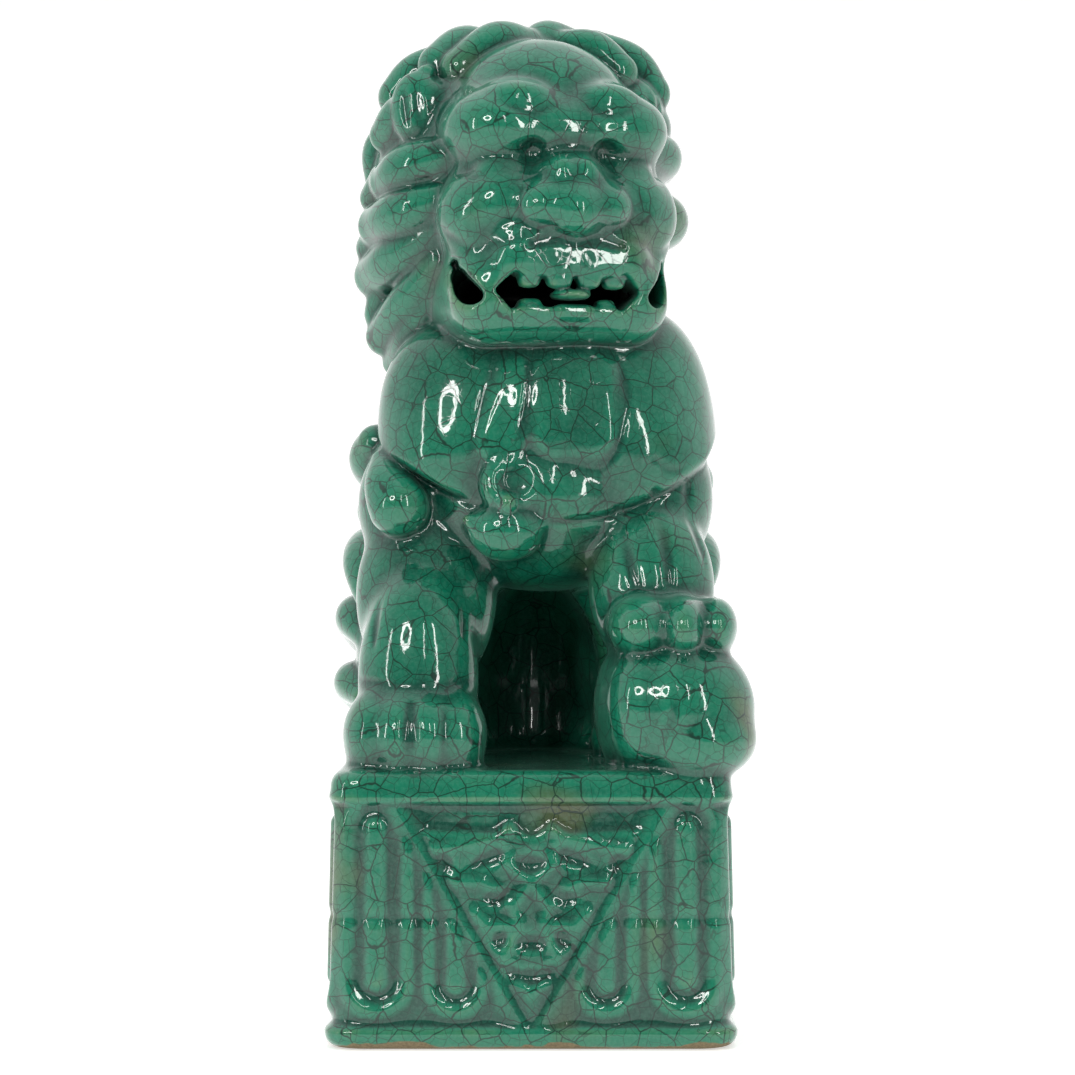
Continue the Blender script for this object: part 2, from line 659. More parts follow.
def sculpt_chest_dress(clay):
    """The panel on the chest, the strap beside it, the knotted ribbon and the bell."""
    panel = block(on_deck(13.5, -60, 114), (13.0, 16, 17.5), 8)
    clay.press(panel, 1.1, 4.2)
    clay.claim(panel, "chest_bib")
    strap = [on_deck(-4, -48, 130), on_deck(-6, -56, 114), on_deck(-10, -60, 100)]
    clay.press(strand(strap, [6.0, 7.5, 7]), 1.6, 4.0)
    groove(clay, [(-0.5, -56, 128), (-1.5, -60, 113), (-5, -63, 99), (-11, -62, 93)], 1.1, 1.5)
    groove(clay, [(-13, -46, 132), (-15, -56, 117), (-18, -58, 105)], 0.8, 1.0)
    groove(clay, [(28, -52, 130), (30, -56, 112), (24, -60, 95), (14, -61, 92)], 0.9, 0.8, 3.0)
    knot, bell = middle_mm("ribbon_knot") + [0, -1.5, 0], middle_mm("bell") + [0, -2.0, 0]
    tilt = turned(10, 74)
    clay.add(ring(knot + [1.2, 4.6, 0.8], 6.2, 3.7, tilt), "ribbon_knot", 2.2)
    clay.add(ellipsoid(knot + [1.5, 6.0, 0.5], (6, 4, 5)), "ribbon_knot", 2.0)
    clay.add(ellipsoid(knot + [0.2, -0.4, -5.2], (3.1, 3, 3.2)), "ribbon_knot", 1.2)
    clay.add(ellipsoid(bell + [0, 4.5, 1.5], (11.6, 9.5, 9.6)), "bell", 2.0)
    for side in (-1, 1):
        point = bell + [side * 12.0, 3, 5.0]
        clay.add(strand([bell + [side * 7, 3, 2.5], point], [4.5, 1.8]), "bell", 2.0)
    collar = Form(
        on_deck(-70, -80, 60),
        on_deck(70, 70, 130),
        lambda x, y, z: np.abs(z - hem_height(x, y) - 2.0) - 2.6,
    )
    clay.claim(collar, "collar")


# ---------------------------------------------------------------------------------------------
# Head


def sculpt_skull(clay):
    clay.add(ellipsoid(in_head(0, 0, -2), (41, 45, 46), HEAD_AXES), "face_shell", 6)
    clay.add(ellipsoid(in_head(2, 20, 20), (31, 28, 27.5), HEAD_AXES), "face_shell", 6)
    clay.add(ellipsoid(in_head(3.5, 14, 10), (36, 34, 24), HEAD_AXES), "face_shell", 6)
    clay.add(block(in_head(3.5, 21, -14), (35, 33, 24), 18, HEAD_AXES), "face_shell", 6)
    clay.add(block(in_head(2.0, 20, -37), (35.5, 36.5, 15.5), 14, HEAD_AXES), "lower_jaw", 6)


def sculpt_face(clay):
    for side in (-1, 1):
        def spot(across, forward, up, side=side):
            return on_face(side * across, forward, up)

        clay.add(ellipsoid(spot(20, 36, 16), (16.5, 19, 13), HEAD_AXES), "face_shell", 7)
        clay.add(ellipsoid(spot(14, 43.5, 25.5), (10, 9.0, 5.4), HEAD_AXES), "face_shell", 3.5)
        clay.add(ellipsoid(spot(25, 39, -11), (13.5, 15, 12.5), HEAD_AXES), "face_shell", 7)
        clay.add(ellipsoid(spot(18.5, 50, -8), (10, 7, 9), HEAD_AXES), "face_shell", 6)
        clay.add(ellipsoid(spot(10.5, 57, -10), (7.8, 7.5, 6.6), HEAD_AXES), "face_shell", 5)
        clay.add(ellipsoid(spot(3.6, 57.5, 1.5), (3.4, 3.6, 3.6), HEAD_AXES), "face_shell", 3)
    clay.add(ellipsoid(on_face(0, 44, 15), (22, 11.5, 10), HEAD_AXES), "face_shell", 7)
    clay.add(block(on_face(0, 40, -25), (25, 20.5, 10), 8, HEAD_AXES), "face_shell", 5)
    # the snout: a broad arch, widening down to the wings of the nose
    clay.add(ellipsoid(on_face(0, 47, 1), (13.5, 12, 8.5), HEAD_AXES), "face_shell", 3)
    clay.add(ellipsoid(on_face(0, 51, -6), (15.5, 11.5, 9), HEAD_AXES), "face_shell", 5)
    clay.add(ellipsoid(on_face(0, 60.5, -11.5), (7.5, 7, 7), HEAD_AXES), "face_shell", 5)


def crease(clay, points, width=1.0, depth=1.4, soft=2.0):
    """A line pressed into the face."""
    path = [on_face(*point) for point in points]
    widths = [width * 0.6] + [width] * (len(path) - 2) + [width * 0.6]
    clay.press(strand(path, widths), -depth, soft)


def sculpt_features(clay):
    for side in (-1, 1):
        # the eye lies deep under the brow
        hollow = [(12.0, 52, 8.0), (17, 54, 5.5), (26, 50, 3.0), (34, 42, 2.5)]
        path = [on_face(side * u, s, w) for u, s, w in hollow]
        clay.cut(strand(path, [3.0, 1.9, 1.0, 0.5]), 4.0)
        clay.add(ellipsoid(on_face(side * 20, 46.5, 1.5), (8.5, 6.0, 4.6), HEAD_AXES), "face_shell", 3.0)
        lid = [(side * 12, 57, -0.5), (side * 18, 55, -3.0), (side * 25, 53, -2.5), (side * 33, 46, 0)]
        crease(clay, lid, 0.6, 0.7, 2.6)
        # between the wing of the nose and the cheek
        fold = [(side * 14, 58, -3), (side * 18, 59, -9), (side * 17, 60, -15), (side * 12, 62, -17)]
        crease(clay, fold, 0.7, 0.8, 3.0)
        # from under the cheek, round the corner of the mouth
        fold = [(side * 38, 40, -17), (side * 32, 50, -23), (side * 24, 57, -21.5), (side * 16, 61, -19.5)]
        crease(clay, fold, 1.0, 1.0, 4.5)
        bow = [(side * 1.5, 61, -21.5), (side * 7, 61, -20.5), (side * 14.5, 60, -22)]
        crease(clay, bow, 1.7, 1.5, 1.8)
        crease(clay, [(side * 6, 54, 22), (side * 14, 55, 19.5), (side * 25, 53, 24)], 0.9, 1.0, 3.0)


def sculpt_mouth(clay):
    clay.hull = clay.field.copy()
    clay.cut(block(in_head(1.2, 44, -36.5), (19.5, 30, 4.6), 2.0, HEAD_AXES), 1.0)
    diamond = turned(0, 0, 45) @ HEAD_AXES
    for u in (-16.4, 18.8):
        clay.cut(block(in_head(u, 54, -36.2), (4.3, 20, 4.3), 0.6, diamond), 1.0)
    for side in (-1, 1):
        # a leaf-shaped opening on the side of the jaw, behind the corner of the mouth
        leaf = ((-33.2, -26.5, 1.0), (-31.8, -31.0, 2.0), (-30.0, -35.0, 2.9), (-28.2, -37.6, 2.8), (-25.4, -37.8, 0.9))
        way = [(in_head(1 + side * (1 - u), 47, w), r) for u, w, r in leaf]
        back = 15 * FORWARD + side * 4 * ACROSS
        slices = [strand([place + back, place - back], [r, r]) for place, r in way]
        clay.cut(joined(slices, 4), 0.8)
    clay.cut(ellipsoid(in_head(0, 26, -35), (27, 27, 9.5), HEAD_AXES), 2)


def sculpt_teeth(clay):
    for u, half in ((-11.3, 3.4), (-2.1, 4.0), (7.5, 3.8), (16.3, 3.6)):
        s = 60.0 - 0.012 * (u - 2) ** 2
        tooth = block(in_head(u, s - 3.2, -31.4), (half, 3.6, 4.0), 2.2, HEAD_AXES)
        clay.add(tooth, "upper_teeth", 1.2)
    for u, half, top in ((-10.2, 3.7, -38.4), (3.5, 6.2, -40.2), (14.3, 3.1, -38.4)):
        s = 56.4 - 0.012 * (u - 2) ** 2
        tooth = block(in_head(u, s - 3.4, top - 2.2), (half, 3.6, 2.2), 1.6, HEAD_AXES)
        clay.add(tooth, "lower_teeth", 1.2)
    clay.add(ellipsoid(in_head(2.7, 53, -37.2), (6.6, 9, 1.7), HEAD_AXES), "tongue", 0.3)


def sculpt_ear(clay, side, name):
    axes = turned(16 + side * 34, -6, side * 8)
    centre = in_head(side * 37.5, 16, 24)
    clay.add(ellipsoid(centre, (8.5, 6.0, 12.5), axes), name, 1.2)
    tip = [centre + [side * 0.0, 2, 4], in_head(side * 34, 14, 36)]
    clay.add(strand(tip, [6.5, 3.0]), name, 2)
    for shift in (-2.4, 2.4):
        groove = [centre + shift * axes[0] - 6.2 * axes[1] + k * axes[2] for k in (8, 0, -8)]
        clay.press(strand(groove, [0.6, 1.1, 0.6]), -1.2, 2.0)


# ---------------------------------------------------------------------------------------------
# Mane

# Each lock of the mane: the piece, its thickness along the way, and its path as (turn, rise, radius)
RIGHT_LOCKS = (
    ((7.0, 7.6, 6.0), ((61, 33, 46), (74, 26, 48), (86, 19, 48))),
    ((6.5, 7.8, 7.0), ((44, 8, 45), (63, 4, 47.5), (80, 0, 46))),
    ((5.0, 5.8), ((84, 2, 47), (94, -5, 47.5))),
    ((6.0, 8.2, 7.2), ((45, -9, 46), (65, -13, 49), (88, -16, 49.5))),
    ((5.5, 6.5), ((88, -17, 49), (99, -23, 51.5))),
    ((5.0, 7.6, 7.8), ((48, -19, 47), (74, -28, 51), (100, -32, 55))),
    ((6.0, 6.5), ((96, -38, 56), (101, -43, 61))),
    ((4.5, 6.8, 6.5), ((52, -32, 50), (74, -43, 57), (100, -48, 66))),
    ((4.0, 6.0, 5.0), ((58, -42, 54), (78, -52, 63), (102, -55, 70))),
)
LEFT_LOCKS = (
    ((7.0, 7.8, 6.5), ((60, 34, 46), (76, 26, 47), (90, 20, 47))),
    ((6.5, 7.6, 7.0), ((50, 12, 45), (68, 12, 47), (84, 10, 46.5))),
    ((6.0, 8.0, 7.5), ((50, -8, 45), (70, -13, 49), (92, -17, 48))),
    ((5.0, 6.5, 5.5), ((60, -26, 46), (80, -30, 48), (98, -36, 50))),
    ((5.0, 6.8, 6.5), ((56, -34, 48), (80, -43, 54), (104, -48, 62))),
)
CROWN_LOCKS = (
    ((7.5, 8.5, 6.5), ((-12, 73, 46), (-36, 63, 48.5), (-52, 48, 48))),
    ((6.0, 8.0, 7.5), ((-84, 74, 48), (-72, 63, 49), (-70, 50, 49))),
    ((6.5, 8.0, 7.5), ((-92, 58, 48), (-97, 47, 49), (-100, 37, 49))),
    ((5.5, 7.8, 7.0), ((12, 74, 46), (48, 78, 48), (80, 70, 49))),
    ((5.5, 7.5, 6.5), ((40, 70, 48), (54, 60, 50), (56, 47, 50))),
    ((6.5, 8.0, 7.0), ((76, 62, 52), (78, 48, 54), (74, 36, 53))),
    ((7.0, 8.0, 7.0), ((150, 80, 48), (200, 70, 48), (200, 54, 48))),
    ((7.0, 8.0, 7.0), ((110, 66, 50), (130, 56, 49), (140, 44, 48))),
    ((7.0, 8.0, 7.0), ((-110, 70, 48), (-130, 58, 48), (-140, 44, 48))),
)


def lock(clay, piece, thickness, path, side=1):
    points = [on_mane(side * turn, rise, radius) for turn, rise, radius in path]
    clay.add(strand(points, thickness), piece, 1.3)


def sculpt_mane(clay):
    clay.add(ellipsoid(MANE_CENTRE, (48, 49, 50)), "mane_cap", 4)
    for side in (-1, 1):
        clay.add(ellipsoid(on_mane(side * 84, -42, 32), (20, 30, 26)), "mane_cap", 6)
    clay.add(ellipsoid(on_deck(0, 8, 140), (46, 40, 26)), "mane_cap", 8)


def sculpt_locks(clay):
    for thickness, path in RIGHT_LOCKS:
        lock(clay, "right_mane_locks", thickness, path, -1)
    for thickness, path in LEFT_LOCKS:
        lock(clay, "left_mane_locks", thickness, path)
    for thickness, path in CROWN_LOCKS:
        lock(clay, "crown_locks", thickness, path)
    # rows of locks down the back of the head
    for row, rise in enumerate((38, 16, -6, -28)):
        for step in range(5 + row % 2):
            turn = 180 + (step - (4 + row % 2) / 2) * 29
            tuck = 0.05 * abs(turn - 180)
            path = ((turn, rise + 10, 46 - tuck), (turn, rise, 48.5 - tuck), (turn, rise - 13, 48.5 - tuck))
            lock(clay, "nape_locks", (6.0, 8.5, 6.0), path)
    for step in range(6):
        turn = 180 + (step - 2.5) * 24
        path = ((turn, -40, 50), (turn, -50, 56), (turn, -56, 62))
        lock(clay, "nape_locks", (6.5, 8.0, 5.0), path)


# ---------------------------------------------------------------------------------------------
# From clay to meshes


def islands(labels, pairs):
    """Numbers the connected patches of faces that share a label."""
    same = pairs[labels[pairs[:, 0]] == labels[pairs[:, 1]]]
    root = np.arange(len(labels))
    while True:
        a, b = root[same[:, 0]], root[same[:, 1]]
        if (a == b).all():
            return root
        np.minimum.at(root, np.maximum(a, b), np.minimum(a, b))
        while (root[root] != root).any():
            root = root[root]


def tidy_labels(labels, pairs, count):
    """Smooths the borders between pieces, and gives scraps to the piece around them."""
    both = np.vstack([pairs, pairs[:, ::-1]])
    for _ in range(4):
        votes = np.bincount(both[:, 0] * count + labels[both[:, 1]], minlength=len(labels) * count)
        votes = votes.reshape(len(labels), count).astype(np.float32)
        votes[np.arange(len(labels)), labels] += 1.5
        labels = votes.argmax(1)
    root = islands(labels, pairs)
    size = np.bincount(root, minlength=len(labels))
    largest = np.zeros(count, int)
    np.maximum.at(largest, labels, size[root])
    scrap = size[root] < 0.12 * largest[labels]
    while scrap.any():
        edge = both[scrap[both[:, 0]] & ~scrap[both[:, 1]]]
        if not len(edge):
            break
        labels[edge[:, 0]] = labels[edge[:, 1]]
        scrap[edge[:, 0]] = False
    return labels


def inner_skin(clay, points, normals, thickness):
    """The points carried inwards by the thickness, stopping where they'd come out again."""
    steps = 8
    inner = points.copy()
    depth = sample(clay.field, clay, inner)
    way = -normals
    for _ in range(steps):
        trial = inner + way * (thickness / steps)
        trial_depth = sample(clay.field, clay, trial)
        deeper = trial_depth < depth - 0.02 * thickness / steps
        inner[deeper], depth[deeper] = trial[deeper], trial_depth[deeper]
    return inner


THICKNESS = {"plinth": 6.0, "shell": 3.0, "cap": 3.0, "haunch": 3.0, "foreleg": 3.0, "jaw": 3.0, "deck": 5.0}


def thickness_of(name):
    return max([size for word, size in THICKNESS.items() if word in name] + [1.6])


def build_pieces(clay):
    """Turns the clay into one closed mesh for each piece."""
    grid = openvdb.FloatGrid(FAR)
    grid.copyFromArray(np.clip(clay.field, -FAR, FAR))
    points, quads = grid.convertToQuads(isovalue=0.0)
    points = points.astype(float) * clay.voxel + clay.low
    quads = quads.astype(np.int64)[:, ::-1]
    for _ in range(2):
        grad = slope(clay.field, clay, points)
        gap = sample(clay.field, clay, points)
        step = gap / np.maximum((grad**2).sum(1), 0.05)
        points -= np.clip(step, -0.5, 0.5)[:, None] * grad
    normals = slope(clay.field, clay, points)
    normals /= np.maximum(np.linalg.norm(normals, axis=1), 1e-6)[:, None]
    middle = points[quads].mean(1)
    facing = np.cross(points[quads[:, 2]] - points[quads[:, 0]], points[quads[:, 3]] - points[quads[:, 1]])
    if (facing * normals[quads[:, 0]]).sum() < 0:
        quads = quads[:, ::-1]

    # the plinth is open underneath, inside its foot ring
    inset = np.minimum(PLINTH_HALF[0] - np.abs(middle[:, 0]), PLINTH_HALF[1] - np.abs(middle[:, 1]))
    keep = ~((middle[:, 2] < 1.0) & (inset > 10.0))
    quads, middle = quads[keep], middle[keep]

    index = np.round((middle - 0.6 * normals[quads[:, 0]] - clay.low) / clay.voxel).astype(int)
    labels = clay.owner[index[:, 0], index[:, 1], index[:, 2]].astype(np.int64)
    edges = np.stack([quads, np.roll(quads, -1, 1)], 2).reshape(-1, 2)
    face = np.repeat(np.arange(len(quads)), 4)
    key = edges.min(1) * len(points) + edges.max(1)
    order = np.argsort(key, kind="stable")
    twin = np.nonzero(key[order][1:] == key[order][:-1])[0]
    pairs = np.stack([face[order[twin]], face[order[twin + 1]]], 1)
    labels = tidy_labels(labels, pairs, len(clay.pieces))

    # how hollow or how proud the surface is, at a fine and at a coarse scale
    base = sample(clay.field, clay, points)
    fine_field = blurred(clay.field, int(round(2.0 * (1.0 / clay.voxel) ** 2)))
    fine = base - sample(fine_field, clay, points)
    coarse_field = blurred(fine_field, int(round(22.0 * (1.0 / clay.voxel) ** 2)))
    coarse = base - sample(coarse_field, clay, points)
    # how deep inside the mouth the surface lies
    inside = -sample(clay.hull, clay, points)

    other = np.full(len(key), -1)
    other[order[twin]] = labels[face[order[twin + 1]]]
    other[order[twin + 1]] = labels[face[order[twin]]]
    rim_edge = other != labels[face]
    made = {}
    for number, name in enumerate(clay.pieces):
        mine = labels == number
        if not mine.any():
            print("NO SURFACE for", name)
            continue
        used, outer = np.unique(quads[mine], return_inverse=True)
        outer = outer.reshape(-1, 4)
        count = len(used)
        rim = edges[rim_edge & mine[face]]
        rim = np.searchsorted(used, rim)
        closing = np.stack([rim[:, 1], rim[:, 0], rim[:, 0] + count, rim[:, 1] + count], 1)
        faces = np.vstack([outer, outer[:, ::-1] + count, closing])
        lining = inner_skin(clay, points[used], normals[used], thickness_of(name))
        mesh = bpy.data.meshes.new(name)
        vertices = np.vstack([points[used], lining]) * MM
        mesh.from_pydata(vertices.tolist(), [], faces.tolist())
        mesh.polygons.foreach_set("use_smooth", np.ones(len(faces), bool))
        for label, values in (("fine", fine), ("coarse", coarse), ("inside", inside)):
            attribute = mesh.attributes.new(label, "FLOAT", "POINT")
            attribute.data.foreach_set("value", np.tile(values[used], 2).astype(np.float32))
        mesh.normals_split_custom_set_from_vertices(np.vstack([normals[used], -normals[used]]).tolist())
        piece = bpy.data.objects.new(name + "_glazed", mesh)
        bpy.context.scene.collection.objects.link(piece)
        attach(piece, "root")
        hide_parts(name)
        made[name] = piece
        print("PIECE", name, int(mine.sum()))
    return made


# ---------------------------------------------------------------------------------------------
# Glaze


class Shader:
    """Short ways to lay out shader nodes."""

    def __init__(self, name):
        self.material = bpy.data.materials.new(name)
        self.material.use_nodes = True
        self.tree = self.material.node_tree
        self.tree.nodes.clear()

    def node(self, kind, values=None, **settings):
        made = self.tree.nodes.new("ShaderNode" + kind)
        for key, value in settings.items():
            setattr(made, key, value)
        for key, value in (values or {}).items():
            socket = made.inputs[key]
            if isinstance(value, bpy.types.NodeSocket):
                self.tree.links.new(value, socket)
            else:
                socket.default_value = value
        return made

    def maths(self, operation, *values):
        made = self.tree.nodes.new("ShaderNodeMath")
        made.operation = operation
        for socket, value in zip(made.inputs, values):
            if isinstance(value, bpy.types.NodeSocket):
                self.tree.links.new(value, socket)
            else:
                socket.default_value = value
        return made.outputs[0]

    def remap(self, value, low, high, to_low=0.0, to_high=1.0):
        made = self.node("MapRange", {"Value": value, "From Min": low, "From Max": high})
        made.interpolation_type = "SMOOTHSTEP"
        made.inputs["To Min"].default_value = to_low
        made.inputs["To Max"].default_value = to_high
        return made.outputs["Result"]

    def blend(self, factor, a, b, mode="MIX"):
        made = self.tree.nodes.new("ShaderNodeMix")
        made.data_type = "RGBA"
        made.blend_type = mode
        for socket, value in ((made.inputs[0], factor), (made.inputs[6], a), (made.inputs[7], b)):
            if isinstance(value, bpy.types.NodeSocket):
                self.tree.links.new(value, socket)
            else:
                socket.default_value = value
        return made.outputs[2]


def linear(red, green, blue):
    """An sRGB colour, 0 to 255, as the renderer wants it."""
    shares = [c / 255 for c in (red, green, blue)]
    return tuple(c / 12.92 if c <= 0.04045 else ((c + 0.055) / 1.055) ** 2.4 for c in shares) + (1.0,)


def glaze(name, deep, middle, thin, pale, olive_share=0.0):
    """Emerald crackle glaze: thin and brownish over ridges, deep in hollows, and milky at a slant."""
    s = Shader(name)
    place = s.node("TexCoord").outputs["Object"]
    place = s.node("VectorMath", {0: place, 1: (1000, 1000, 1000)}, operation="MULTIPLY").outputs[0]
    fine = s.node("Attribute", attribute_name="fine").outputs["Fac"]
    coarse = s.node("Attribute", attribute_name="coarse").outputs["Fac"]

    cloud = s.node("TexNoise", {"Vector": place, "Scale": 0.035, "Detail": 4.0, "Roughness": 0.6}).outputs["Fac"]
    speck = s.node("TexNoise", {"Vector": place, "Scale": 0.9, "Detail": 3.0, "Roughness": 0.6}).outputs["Fac"]
    flow = s.node("VectorMath", {0: place, 1: (1.0, 1.0, 0.32)}, operation="MULTIPLY").outputs[0]
    streak = s.node("TexNoise", {"Vector": flow, "Scale": 0.16, "Detail": 3.0, "Roughness": 0.55}).outputs["Fac"]

    depth = s.maths("ADD", s.maths("MULTIPLY", fine, 1.6), s.maths("MULTIPLY", coarse, 0.22))
    depth = s.maths("ADD", depth, s.maths("MULTIPLY", s.maths("SUBTRACT", cloud, 0.5), 0.9))
    depth = s.maths("ADD", depth, s.maths("MULTIPLY", s.maths("SUBTRACT", streak, 0.5), 0.5))
    colour = s.blend(s.remap(depth, -0.35, 0.35), middle, deep)
    colour = s.blend(s.remap(depth, 0.45, 1.7, 0.0, 0.8), colour, linear(1, 42, 34))
    ridge = s.remap(depth, -0.3, -1.1)
    colour = s.blend(s.maths("MULTIPLY", ridge, 0.85), colour, thin)
    brown = s.node("TexNoise", {"Vector": place, "Scale": 0.022, "Detail": 2.0}).outputs["Fac"]
    brown = s.maths("MULTIPLY", s.remap(brown, 0.60, 0.74), olive_share)
    colour = s.blend(brown, colour, linear(92, 84, 42))
    colour = s.blend(s.remap(speck, 0.35, 0.75, 0.0, 0.10), colour, pale)

    # the crackle: straight-edged cells of two sizes
    wander = s.node("TexNoise", {"Vector": place, "Scale": 0.5, "Detail": 1.0}).outputs["Color"]
    wander = s.node("VectorMath", {0: wander, 1: (0.7, 0.7, 0.7)}, operation="MULTIPLY").outputs[0]
    bent = s.node("VectorMath", {0: place, 1: wander}, operation="ADD").outputs[0]
    lines = None
    for size, width, strength in ((9.0, 0.26, 0.88), (4.2, 0.15, 0.52)):
        cell = s.node("TexVoronoi", {"Vector": bent, "Scale": 1 / size}, feature="DISTANCE_TO_EDGE")
        line = s.remap(cell.outputs["Distance"], width / size, 0.3 * width / size, 0.0, strength)
        lines = line if lines is None else s.maths("MAXIMUM", lines, line)
    colour = s.blend(lines, colour, linear(12, 40, 32))

    inside = s.node("Attribute", attribute_name="inside").outputs["Fac"]
    unglazed = s.remap(inside, 2.0, 6.0)
    colour = s.blend(s.maths("MULTIPLY", unglazed, 0.97), colour, linear(14, 14, 10))

    slant = s.node("LayerWeight", {"Blend": 0.42}).outputs["Facing"]
    colour = s.blend(s.remap(slant, 0.45, 1.0, 0.0, 0.42), colour, pale)

    ripple = s.node("TexNoise", {"Vector": place, "Scale": 0.11, "Detail": 2.0}).outputs["Fac"]
    bump = s.node("Bump", {"Height": ripple, "Strength": 0.12, "Distance": 0.0015})
    pits = s.maths("ADD", s.maths("MULTIPLY", speck, 0.3), s.maths("MULTIPLY", lines, -0.6))
    skin = s.node("Bump", {"Height": pits, "Strength": 0.03, "Distance": 0.0004, "Normal": bump.outputs[0]})
    shader = s.node(
        "BsdfPrincipled",
        {
            "Base Color": colour,
            "Roughness": 0.30,
            "IOR": 1.5,
            "Specular IOR Level": 0.12,
            "Coat Weight": s.remap(unglazed, 0.0, 1.0, 1.0, 0.0),
            "Coat Roughness": 0.025,
            "Coat IOR": 1.55,
            "Normal": bump.outputs[0],
            "Coat Normal": skin.outputs[0],
        },
    )
    return s, shader, place


def finish_glaze(s, shader):
    out = s.node("OutputMaterial", {"Surface": shader})
    return s.material


def finish_plinth(s, shader, place):
    """The foot of the plinth is bare clay, with a wavering edge to the glaze."""
    up = s.node("SeparateXYZ", {0: place}).outputs[2]
    waver = s.node("TexNoise", {"Vector": place, "Scale": 0.09, "Detail": 3.0}).outputs["Fac"]
    edge = s.maths("SUBTRACT", up, s.remap(waver, 0.3, 0.7, 0.8, 3.0))
    grain = s.node("TexNoise", {"Vector": place, "Scale": 1.3, "Detail": 4.0}).outputs["Fac"]
    clay_colour = s.blend(grain, linear(72, 62, 44), linear(150, 134, 102))
    bare = s.node("BsdfPrincipled", {"Base Color": clay_colour, "Roughness": 0.85})
    mix = s.node("MixShader", {0: s.remap(edge, -0.25, 0.25), 1: bare.outputs[0], 2: shader.outputs[0]})
    s.node("OutputMaterial", {"Surface": mix.outputs[0]})
    return s.material


def make_glazes():
    deep, middle, thin, pale = linear(2, 66, 52), linear(11, 113, 85), linear(78, 124, 84), linear(116, 170, 150)
    glazes = {}
    for name, share in (("body", 0.35), ("hair", 0.35), ("ornament", 0.6), ("mouth", 0.35)):
        s, shader, place = glaze(name + "_glaze", deep, middle, thin, pale, share)
        glazes[name] = finish_glaze(s, shader.outputs[0])
    s, shader, place = glaze("plinth_glaze", deep, middle, thin, pale, 0.6)
    glazes["plinth"] = finish_plinth(s, shader, place)
    return glazes


def glaze_of(name):
    if name.startswith("plinth"):
        return "plinth"
    if name in ("lower_jaw", "upper_teeth", "lower_teeth", "tongue"):
        return "mouth"
    if name in ("ball", "ball_ribbon", "collar", "chest_bib", "ribbon_knot", "bell"):
        return "ornament"
    if any(word in name for word in ("locks", "tuft", "curls", "mane", "tail", "ear")):
        return "hair"
    return "body"


# ---------------------------------------------------------------------------------------------
# The whole figure


def sculpt():
    low = np.array([-PLINTH_HALF[0] - 6, -PLINTH_HALF[1] - 8, -4])
    high = np.array([PLINTH_HALF[0] + 8, PLINTH_HALF[1] + 6, TOP + 8])
    clay = Clay(low, high, VOXEL)
    sculpt_plinth(clay)
    clay.begin()
    sculpt_torso(clay)
    clay.end(4)
    sculpt_hind(clay)
    sculpt_tail(clay)
    sculpt_spine(clay)
    sculpt_legs(clay)
    sculpt_right_paw(clay)
    sculpt_ball(clay)
    sculpt_left_paw(clay)
    sculpt_mane(clay)
    sculpt_tufts(clay)
    sculpt_chest_dress(clay)
    sculpt_locks(clay)
    sculpt_ear(clay, -1, "right_ear")
    sculpt_ear(clay, 1, "left_ear")
    clay.begin()
    sculpt_skull(clay)
    sculpt_face(clay)
    clay.end(1.6)
    sculpt_features(clay)
    sculpt_mouth(clay)
    sculpt_teeth(clay)
    clay.soften(1)
    return clay


def build_stage():
    """A pale floor that curves up into a pale backdrop."""
    depth, height, width, bend = 2.2, 3.0, 4.0, 0.9
    profile = [(-3.0, 0.0), (depth - bend, 0.0)]
    for step in range(1, 13):
        a = math.radians(90 * step / 12)
        profile.append((depth - bend + bend * math.sin(a), bend - bend * math.cos(a)))
    profile.append((depth, height))
    vertices = [(x, y, z) for y, z in profile for x in (-width, width)]
    faces = [(2 * i, 2 * i + 1, 2 * i + 3, 2 * i + 2) for i in range(len(profile) - 1)]
    mesh = bpy.data.meshes.new("backdrop")
    mesh.from_pydata(vertices, [], faces)
    for polygon in mesh.polygons:
        polygon.use_smooth = True
    backdrop = bpy.data.objects.new("backdrop", mesh)
    bpy.context.scene.collection.objects.link(backdrop)
    s = Shader("backdrop_paper")
    grain = s.node("TexNoise", {"Scale": 40.0, "Detail": 2.0}).outputs["Fac"]
    paper = s.blend(grain, (0.80, 0.80, 0.79, 1), (0.84, 0.84, 0.83, 1))
    # the paper is lit from behind, except in front of the figure, where it would show in the glaze
    behind = s.remap(s.node("SeparateXYZ", {0: s.node("TexCoord").outputs["Object"]}).outputs[1], -0.45, -0.05)
    shader = s.node(
        "BsdfPrincipled",
        {
            "Base Color": paper,
            "Roughness": 0.9,
            "Emission Color": paper,
            "Emission Strength": s.maths("MULTIPLY", behind, 0.6),
        },
    )
    s.node("OutputMaterial", {"Surface": shader.outputs[0]})
    mesh.materials.append(s.material)


def add_light(name, place, aim, size, power):
    light = bpy.data.lights.new(name, "AREA")
    light.shape = "RECTANGLE"
    light.size, light.size_y = size
    light.energy = power
    lamp = bpy.data.objects.new(name, light)
    lamp.location = place
    lamp.rotation_euler = (Vector(aim) - Vector(place)).to_track_quat("-Z", "Y").to_euler()
    bpy.context.scene.collection.objects.link(lamp)
    return lamp


def add_glow(name, outline, width, place, aim, strength):
    """A glowing band along a closed outline, facing the figure; it shows in the glaze as a thin loop."""
    count = len(outline)
    vertices, faces = [], []
    for u, v in outline:
        scale = 1 - width / math.hypot(u, v)
        vertices += [(u, v, 0), (u * scale, v * scale, 0)]
    for i in range(count):
        a, b = 2 * i, 2 * ((i + 1) % count)
        faces.append((a, b, b + 1, a + 1))
    mesh = bpy.data.meshes.new(name)
    mesh.from_pydata(vertices, [], faces)
    finish_lamp(name, mesh, place, aim, strength)


